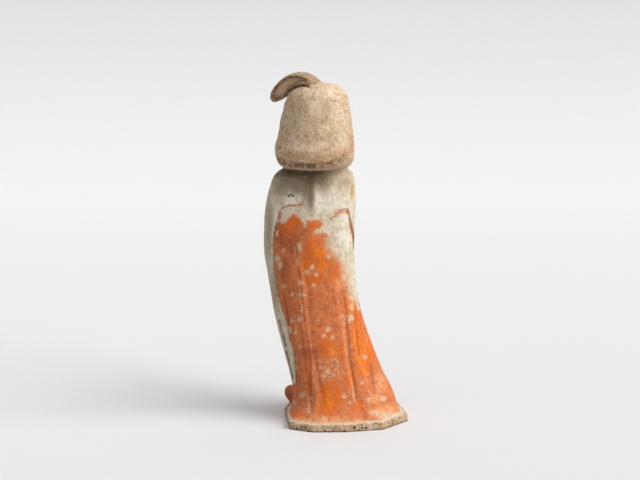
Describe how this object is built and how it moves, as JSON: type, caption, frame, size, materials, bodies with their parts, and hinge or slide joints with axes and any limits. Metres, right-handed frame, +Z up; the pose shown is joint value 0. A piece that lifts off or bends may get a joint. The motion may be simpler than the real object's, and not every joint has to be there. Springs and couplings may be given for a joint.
{
  "type": "court lady figure",
  "caption": "Standing pottery court lady in a long robe, hands joined in her sleeves, bell of hair and leaning topknot, on a thin slab of its own clay.",
  "frame": {"origin": "underside of the slab, below the middle of the robe's hem", "axes": "+Z up the figure, -Y the way she faces, +X her left"},
  "size_m": [0.1669, 0.1578, 0.4157],
  "materials": {
    "painted_earthenware": "matte, worn orange paint over white slip"
  },
  "bodies": {
    "root": {"court_lady_figure": "painted_earthenware"}
  },
  "joints": []
}
